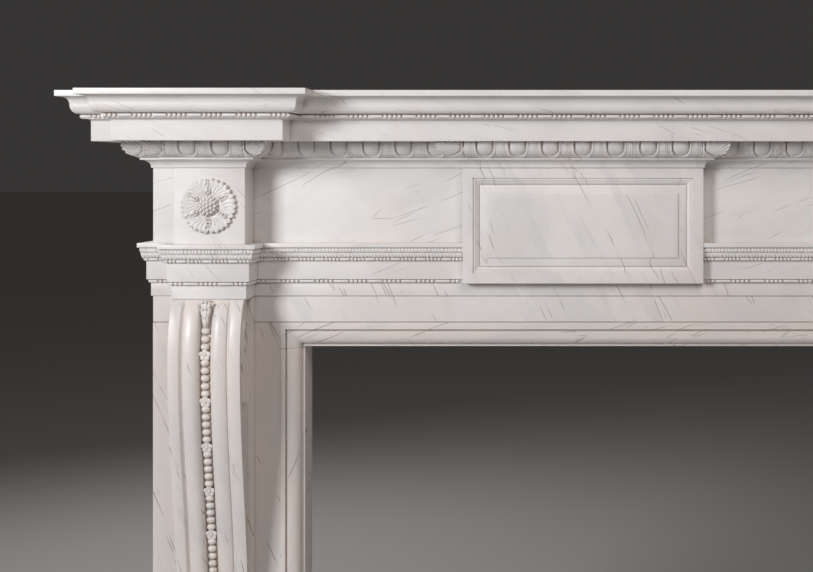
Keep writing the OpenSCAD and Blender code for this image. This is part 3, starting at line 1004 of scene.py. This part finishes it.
def husk(carving, foot):
    """Leaves standing over the first bead in three tiers, the upper ones wider and curling outwards."""
    # Of each tier: height of its foot, length and half width of a leaf, spread, and how far forward it is
    tiers = ((27, 18, 4.8, 0.42, -1), (14, 19, 4.6, 0.36, 1), (1, 17, 3.8, 0.24, 2.5))
    for start, tall, wide, spread, forward in tiers:
        for lean in (-spread, spread, 0):
            up = Vector((math.sin(lean), 0.06, math.cos(lean)))
            side = Vector((math.cos(lean), 0, -math.sin(lean)))
            root = foot + Vector((0, -forward - (0 if lean else 1.2), start))
            ellipsoid(carving, root + up * tall * 0.5, up * tall * 0.56, side * wide, (0, -3.6, 0),
                      rings=12, sides=12)
            ellipsoid(carving, root + up * tall * 0.98 + Vector((0, -1.6, 0)), up * 2.4, side * wide * 0.8,
                      (0, -2.8, 0), rings=8, sides=10)


def build_console():
    """The left console on its backing plate."""
    carving = Carving()
    left = -BLOCK_X1 - PLATE_LAP
    right = -BLOCK_X0 + PLATE_LAP
    plate = [(left, FACE_Y), (left, FACE_Y - 9), (right, FACE_Y - 9), (right, FACE_Y)]
    sweep(carving, plate, [(0, FASCIA_Z), (0, FOOT_Z)])
    console_body(carving)
    for side in (-1, 1):
        for spiral in VOLUTES:
            volute(carving, side, *spiral)
    bead_string(carving)
    return carving


# ---- frame round the opening, feet ----

INNER_FILLET = 5.5        # flat between the opening and the round
ROUND_W = 24
ROUND_D = 18
QUIRK = 3                 # groove outside the round
BAND_OUT = 1.5            # how far the outer band stands out from the main face
JOINT_ARRIS = 1.8         # of the usual arris, worn along the joint of head and sides


def frame_section():
    """Across the frame from the opening outwards: (distance from the opening, height above the face)."""
    side_w = FRAME_X - OPEN_X
    outer = INNER_FILLET + ROUND_W
    section = [(0, FACE_Y - WALL_Y), (0, -ROUND_D), (INNER_FILLET, -ROUND_D)]
    section += [(INNER_FILLET + ROUND_W * (1 - math.cos(a)), (ROUND_D - 1.5) * (math.sin(a) - 1))
                for a in quarter(2 * CURVE_STEPS)]
    section += [(outer, -QUIRK), (outer + QUIRK, -QUIRK), (outer + QUIRK, BAND_OUT), (side_w, BAND_OUT),
                (side_w, FACE_Y - WALL_Y)]
    return eased(section, sizes("arris"))


def frame_rings(carving, stations):
    """Closed bar of the frame's section through stations. Each is a function of the distance outwards and
    a depth by which the section is worn back there, as at the arris of a joint."""
    section = frame_section()
    points = []
    for station, worn in stations:
        for r, height in section:
            x, z = station(r)
            points.append((x, FACE_Y - (height - worn if height > FACE_Y - WALL_Y else height), z))
    carving.add(points, bar_faces(len(stations), len(section)))


def build_frame_head():
    """The head of the frame, with both of its corners down to the joints."""
    carving = Carving()
    side_w = FRAME_X - OPEN_X
    opening_z = JOINT_Z + 3
    lift = LINTEL_Z - opening_z - side_w
    arris = JOINT_ARRIS * sizes("arris")

    def above(r):
        return opening_z + r + (lift if r > side_w - 1.5 else 0)

    frame_rings(carving, [(lambda r: (-OPEN_X - r, JOINT_Z), arris),
                          (lambda r: (-OPEN_X - r, JOINT_Z + arris), 0),
                          (lambda r: (-OPEN_X - r, above(r)), 0),
                          (lambda r: (OPEN_X + r, above(r)), 0),
                          (lambda r: (OPEN_X + r, JOINT_Z + arris), 0),
                          (lambda r: (OPEN_X + r, JOINT_Z), arris)])
    return carving


def build_frame_side():
    """The left side of the frame."""
    carving = Carving()
    arris = JOINT_ARRIS * sizes("arris")
    frame_rings(carving, [(lambda r: (-OPEN_X - r, FOOT_Z), 0),
                          (lambda r: (-OPEN_X - r, JOINT_Z - arris), 0),
                          (lambda r: (-OPEN_X - r, JOINT_Z), arris)])
    return carving


def build_foot_block():
    """The left foot block, with a slope up to what it carries."""
    carving = Carving()
    front = FACE_Y - BAND_OUT
    inner = -OPEN_X - FOOT_OUT
    corners = [(-BODY_X, WALL_Y), (-BODY_X, front), (-BLOCK_X1, front), (-BLOCK_X1, BLOCK_Y),
               (-BLOCK_X0, BLOCK_Y), (-BLOCK_X0, front), (inner, front), (inner, WALL_Y)]
    sweep(carving, corners, [(-5, FOOT_Z), (0, FOOT_Z), (FOOT_OUT, FOOT_Z - 12), (FOOT_OUT, 0)])
    return carving


# ---- finishes ----

def add_node(tree, kind, settings=None, links=None, **attributes):
    """A node of a kind, with attributes set, plain values on its sockets and links into them."""
    node = tree.nodes.new(kind)
    for name, value in attributes.items():
        setattr(node, name, value)
    for name, value in (settings or {}).items():
        node.inputs[name].default_value = value
    for name, source in (links or {}).items():
        tree.links.new(source, node.inputs[name])
    return node


def per_metre(millimetres):
    return 1 / (millimetres * MM)


def marble(name, tilt, place, veining=1.0, warmth=0.2):
    """Statuary marble, sawn, honed and waxed: a white ground with soft grey and blush clouds, and thin
    broken veins that all run one way in a block, because they follow its bed. tilt turns that way from
    upright in the face, in degrees, and place shifts the pattern so that no two blocks match. warmth
    is how far the ground leans to the blush."""
    finish = bpy.context.scene.mantel_finish
    material = bpy.data.materials.new(name)
    material.use_nodes = True
    tree = material.node_tree
    tree.nodes.clear()
    where = add_node(tree, "ShaderNodeTexCoord").outputs["Object"]
    turned = add_node(tree, "ShaderNodeMapping", {"Location": place, "Rotation": (0, math.radians(tilt), 0)},
                      {"Vector": where}).outputs["Vector"]

    def noise(source, wide, tall, detail, distortion=0.0, roughness=0.55):
        scale = (per_metre(wide), per_metre(wide), per_metre(tall))
        stretched = add_node(tree, "ShaderNodeMapping", {"Scale": scale}, {"Vector": source})
        return add_node(tree, "ShaderNodeTexNoise",
                        {"Scale": 1, "Detail": detail, "Distortion": distortion, "Roughness": roughness},
                        {"Vector": stretched.outputs["Vector"]}).outputs["Fac"]

    def ranged(source, low, high, to_low, to_high):
        return add_node(tree, "ShaderNodeMapRange",
                        {"From Min": low, "From Max": high, "To Min": to_low, "To Max": to_high},
                        {"Value": source}, interpolation_type="SMOOTHSTEP").outputs["Result"]

    def calculate(operation, a, b=0.0):
        fixed = isinstance(b, float)
        values, links = ({1: b}, {0: a}) if fixed else ({}, {0: a, 1: b})
        return add_node(tree, "ShaderNodeMath", values, links, operation=operation).outputs[0]

    def mixed(amount, a, b):
        node = add_node(tree, "ShaderNodeMix", data_type="RGBA")
        for socket, value in (("Factor", amount), ("A", a), ("B", b)):
            target = next(s for s in node.inputs
                          if s.name == socket and s.type == ("VALUE" if socket == "Factor" else "RGBA"))
            if isinstance(value, bpy.types.NodeSocket):
                tree.links.new(value, target)
            else:
                target.default_value = value if socket == "Factor" else (*value, 1)
        return next(s for s in node.outputs if s.type == "RGBA")

    def vein(wide, tall, half_width, seed):
        """Hairlines of an even width in mm. Two samples 2 mm apart give the way the pattern slopes."""
        sides = []
        for step in (-1, 1):
            moved = add_node(tree, "ShaderNodeVectorMath", {1: (step * MM + seed, seed, 2 * seed)},
                             {0: turned}, operation="ADD")
            sides.append(noise(moved.outputs[0], wide, tall, 2, 0.0, 0.4))
        total = calculate("ADD", sides[0], sides[1])
        level = calculate("ABSOLUTE", calculate("SUBTRACT", total, 1.0))
        slope = calculate("ABSOLUTE", calculate("SUBTRACT", sides[0], sides[1]))
        away = calculate("DIVIDE", level, calculate("MAXIMUM", slope, 0.0001))
        steep = ranged(slope, 0.1 / wide, 0.32 / wide, 0.0, 1.0)
        return calculate("MULTIPLY", steep, ranged(away, 0.15 * half_width, half_width, 1.0, 0.0))

    cloud = ranged(noise(turned, 150, 260, 4), 0.42, 0.68, 0.0, 0.7)
    smoke = ranged(noise(turned, 26, 230, 4), 0.52, 0.72, 0.0, 0.75 * veining)
    blush = ranged(noise(turned, 210, 150, 3), 0.5, 0.7, 0.0, 0.5)
    patches = ranged(noise(turned, 70, 110, 2), 0.55, 0.63, 0.0, 0.9 * veining)
    thin = calculate("MULTIPLY", vein(52, 420, 0.75, 0.0), patches)
    wisps = ranged(noise(turned, 60, 90, 2), 0.53, 0.64, 0.0, 0.4 * veining)
    faint = calculate("MULTIPLY", vein(26, 300, 1.5, 0.37), wisps)
    speck = ranged(noise(turned, 2.2, 2.6, 2), 0.7, 0.78, 0.0, 0.15)
    # Painted shade: ambient occlusion over 6 mm and 18 mm darkens creases and recesses of the carving towards
    # a warm grey brown
    hollow = add_node(tree, "ShaderNodeAmbientOcclusion", {"Distance": 6 * MM}, samples=6)
    crease_shade = ranged(hollow.outputs["AO"], 0.15, 0.7, 0.45, 0.0)
    corner = add_node(tree, "ShaderNodeAmbientOcclusion", {"Distance": 18 * MM}, samples=6)
    recess_shade = ranged(corner.outputs["AO"], 0.1, 0.8, 0.36, 0.0)

    ground = mixed(warmth, tuple(finish.stone), tuple(finish.blush))
    ground = mixed(cloud, ground, tuple(finish.cloud))
    ground = mixed(blush, ground, tuple(finish.blush))
    ground = mixed(smoke, ground, tuple(finish.cloud))
    ground = mixed(faint, ground, tuple(finish.vein))
    ground = mixed(thin, ground, tuple(finish.vein))
    ground = mixed(speck, ground, tuple(finish.vein))
    ground = mixed(recess_shade, ground, tuple(finish.hollow_shade))
    ground = mixed(crease_shade, ground, tuple(finish.hollow_shade))

    # Hand polish leaves a slow unevenness, and the calcite grain a fine one
    polish = noise(where, 26, 26, 2)
    grain = noise(where, 1.6, 1.6, 3)
    slow = add_node(tree, "ShaderNodeBump", {"Strength": 0.25, "Distance": 0.35 * MM}, {"Height": polish})
    fine = add_node(tree, "ShaderNodeBump", {"Strength": 0.12, "Distance": 0.1 * MM},
                    {"Height": grain, "Normal": slow.outputs["Normal"]})
    rough = ranged(polish, 0.3, 0.7, finish.gloss - 0.05, finish.gloss + 0.08)
    shader = add_node(tree, "ShaderNodeBsdfPrincipled", {"IOR": 1.52},
                      {"Base Color": ground, "Roughness": rough, "Normal": fine.outputs["Normal"]})
    add_node(tree, "ShaderNodeOutputMaterial", links={"Surface": shader.outputs["BSDF"]})
    return material


def painted_floor():
    """Matt emulsion on a smooth studio floor: even, with hardly any shine."""
    material = bpy.data.materials.new("studio_emulsion")
    material.use_nodes = True
    shader = material.node_tree.nodes["Principled BSDF"]
    shader.inputs["Base Color"].default_value = (*bpy.context.scene.mantel_finish.floor, 1)
    shader.inputs["Roughness"].default_value = 0.8
    return material


def finish_frame_node(node, material):
    """Gives a stone that keeps the frame's own shape its finish."""
    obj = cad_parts[node]
    if not obj.material_slots:
        obj.data.materials.append(material)
    for slot in obj.material_slots:
        slot.material = material


# ---- studio ----

FLOOR_HALF = 90.0         # metres, so that its edge lies at eye level
DIM_GREY = (0.038, 0.0365, 0.0355)

# Name, place, what it points at, size in metres, watts and colour of each soft light
LIGHTS = (
    ("key", (-2.0, -2.1, 1.9), (-0.05, 0, 1.4), 0.75, 52, (0.985, 0.992, 1.0)),
    ("front", (0.6, -1.8, 2.5), (0.1, 0, 1.35), 1.2, 20, (1.0, 0.92, 0.86)),
    ("back", (-1.6, 2.6, 2.4), (0, 0.6, 0.6), 1.5, 20, (1.0, 0.98, 0.96)),
)


def studio_floor():
    """Plain pale floor, level with the hearth."""
    half = FLOOR_HALF
    mesh = bpy.data.meshes.new("studio_floor")
    corners = [(-half, -half, 0), (half, -half, 0), (half, half, 0), (-half, half, 0)]
    mesh.from_pydata(corners, [], [(0, 1, 2, 3)])
    mesh.materials.append(painted_floor())
    floor = bpy.data.objects.new("studio_floor", mesh)
    bpy.context.scene.collection.objects.link(floor)


def soft_light(name, place, target, size, power, tint):
    """Square light turned to a target, with places and size in metres."""
    data = bpy.data.lights.new(name, "AREA")
    data.shape = "SQUARE"
    data.size = size
    data.energy = power
    data.color = tint
    lamp = bpy.data.objects.new(name, data)
    lamp.location = place
    lamp.rotation_euler = (Vector(target) - Vector(place)).to_track_quat("-Z", "Y").to_euler()
    bpy.context.scene.collection.objects.link(lamp)


def studio_camera():
    """Level camera in front of the middle of the mantel, shifted to frame its left-hand part."""
    data = bpy.data.cameras.new("camera")
    data.sensor_width = 36
    data.lens = 64.2
    data.shift_x = -0.2171
    data.shift_y = -0.1402
    camera = bpy.data.objects.new("camera", data)
    camera.location = (0, FACE_Y * MM - 2.6535, TOP_Z * MM - 0.1427)
    camera.rotation_euler = (math.radians(90), 0, 0)
    bpy.context.scene.collection.objects.link(camera)
    bpy.context.scene.camera = camera


def studio_world():
    """Dim even surroundings, which fill the shadows a little."""
    world = bpy.data.worlds.new("studio")
    world.use_nodes = True
    background = world.node_tree.nodes["Background"]
    background.inputs["Color"].default_value = (*DIM_GREY, 1)
    background.inputs["Strength"].default_value = 1.0
    bpy.context.scene.world = world


# ---- operators ----

class MantelOperator:
    bl_options = {"REGISTER", "UNDO"}


class MANTEL_OT_shelf(MantelOperator, bpy.types.Operator):
    """Build the moulded shelf with its bead strip"""
    bl_idname = "mantel.shelf"
    bl_label = "Shelf"

    def execute(self, context):
        finish = marble("marble_shelf", 68, (0.4, 0.1, 0.7), 0.7, 0.1)
        build_shelf().piece("carved_shelf", finish, "shelf")
        return {"FINISHED"}


class MANTEL_OT_frieze(MantelOperator, bpy.types.Operator):
    """Build the frieze with its egg and dart, leaf band, beads and lintel"""
    bl_idname = "mantel.frieze"
    bl_label = "Frieze"

    def execute(self, context):
        finish = marble("marble_frieze", -70, (1.9, 0.6, 0.3), 0.75, 0.1)
        frieze = build_frieze().piece("carved_frieze", finish, "frieze")
        # The lintel was sawn across the bed, so its veins stand steeply
        frieze.data.materials.append(marble("marble_lintel", 26, (0.5, 1.7, 0.8), 1.2, 0.2))
        for face in frieze.data.polygons:
            if face.center.z < BEAD_2_Z * MM:
                face.material_index = 1
        return {"FINISHED"}


class MANTEL_OT_tablet(MantelOperator, bpy.types.Operator):
    """Build the centre tablet with its raised panel"""
    bl_idname = "mantel.tablet"
    bl_label = "Tablet"

    def execute(self, context):
        finish = marble("marble_tablet", 26, (3.6, 0.9, 1.1), 1.0, 0.15)
        build_tablet().piece("carved_tablet", finish, "tablet")
        return {"FINISHED"}


class MANTEL_OT_end_blocks(MantelOperator, bpy.types.Operator):
    """Build the two end blocks with their rosettes"""
    bl_idname = "mantel.end_blocks"
    bl_label = "End Blocks"

    def execute(self, context):
        finish = marble("marble_blocks", 38, (0.9, 1.3, 0.2), 0.6, 0.1)
        build_end_block().pair("carved_end_block", finish, "end_block")
        return {"FINISHED"}


class MANTEL_OT_consoles(MantelOperator, bpy.types.Operator):
    """Build the two scrolled consoles with their bead strings"""
    bl_idname = "mantel.consoles"
    bl_label = "Consoles"

    def execute(self, context):
        finish = marble("marble_consoles", 17, (2.2, 0.8, 0.5), 1.25, 0.7)
        build_console().pair("carved_console", finish, "console")
        return {"FINISHED"}


class MANTEL_OT_jambs(MantelOperator, bpy.types.Operator):
    """Finish the two plain jambs"""
    bl_idname = "mantel.jambs"
    bl_label = "Jambs"

    def execute(self, context):
        finish = marble("marble_jambs", 24, (0.2, 2.1, 1.1), 1.35, 0.9)
        for node in ("jamb_left", "jamb_right"):
            finish_frame_node(node, finish)
        return {"FINISHED"}


class MANTEL_OT_frame(MantelOperator, bpy.types.Operator):
    """Build the moulded frame round the opening"""
    bl_idname = "mantel.frame"
    bl_label = "Frame"

    def execute(self, context):
        finish = marble("marble_frame_head", -70, (1.2, 0.9, 2.0), 1.0, 0.7)
        build_frame_head().piece("moulded_frame_head", finish, "frame_head")
        finish = marble("marble_frame_sides", -24, (2.7, 1.5, 0.6), 1.35, 0.8)
        build_frame_side().pair("moulded_frame", finish, "frame")
        return {"FINISHED"}


class MANTEL_OT_foot_blocks(MantelOperator, bpy.types.Operator):
    """Build the two foot blocks"""
    bl_idname = "mantel.foot_blocks"
    bl_label = "Foot Blocks"

    def execute(self, context):
        finish = marble("marble_feet", 30, (1.6, 0.4, 2.5), 0.8, 1.0)
        build_foot_block().pair("moulded_foot", finish, "foot_block")
        return {"FINISHED"}


class MANTEL_OT_stage(MantelOperator, bpy.types.Operator):
    """Set up the floor, the soft lights and the camera"""
    bl_idname = "mantel.stage"
    bl_label = "Stage"

    def execute(self, context):
        studio_floor()
        studio_world()
        for light in LIGHTS:
            soft_light(*light)
        studio_camera()
        context.scene.view_settings.view_transform = "Standard"
        return {"FINISHED"}


OPERATORS = (MANTEL_OT_shelf, MANTEL_OT_frieze, MANTEL_OT_tablet, MANTEL_OT_end_blocks, MANTEL_OT_consoles,
             MANTEL_OT_jambs, MANTEL_OT_frame, MANTEL_OT_foot_blocks, MANTEL_OT_stage)


class MANTEL_PT_panel(bpy.types.Panel):
    """Sizes, colours and pieces of the mantel"""
    bl_idname = "MANTEL_PT_panel"
    bl_label = "Marble Mantel"
    bl_space_type = "VIEW_3D"
    bl_region_type = "UI"
    bl_category = "Mantel"

    def draw(self, context):
        for group in (context.scene.mantel_sizes, context.scene.mantel_finish):
            box = self.layout.box()
            for name in group.bl_rna.properties.keys():
                if name not in ("rna_type", "name"):
                    box.prop(group, name)
        for operator in OPERATORS:
            self.layout.operator(operator.bl_idname)


CLASSES = (MantelSizes, MantelFinish, *OPERATORS, MANTEL_PT_panel)


def register():
    for cls in CLASSES:
        bpy.utils.register_class(cls)
    bpy.types.Scene.mantel_sizes = PointerProperty(type=MantelSizes)
    bpy.types.Scene.mantel_finish = PointerProperty(type=MantelFinish)


def unregister():
    del bpy.types.Scene.mantel_finish
    del bpy.types.Scene.mantel_sizes
    for cls in reversed(CLASSES):
        bpy.utils.unregister_class(cls)


def main():
    register()
    bpy.ops.mantel.shelf()
    bpy.ops.mantel.frieze()
    bpy.ops.mantel.tablet()
    bpy.ops.mantel.end_blocks()
    bpy.ops.mantel.consoles()
    bpy.ops.mantel.jambs()
    bpy.ops.mantel.frame()
    bpy.ops.mantel.foot_blocks()
    bpy.ops.mantel.stage()


if __name__ == "__main__":
    main()
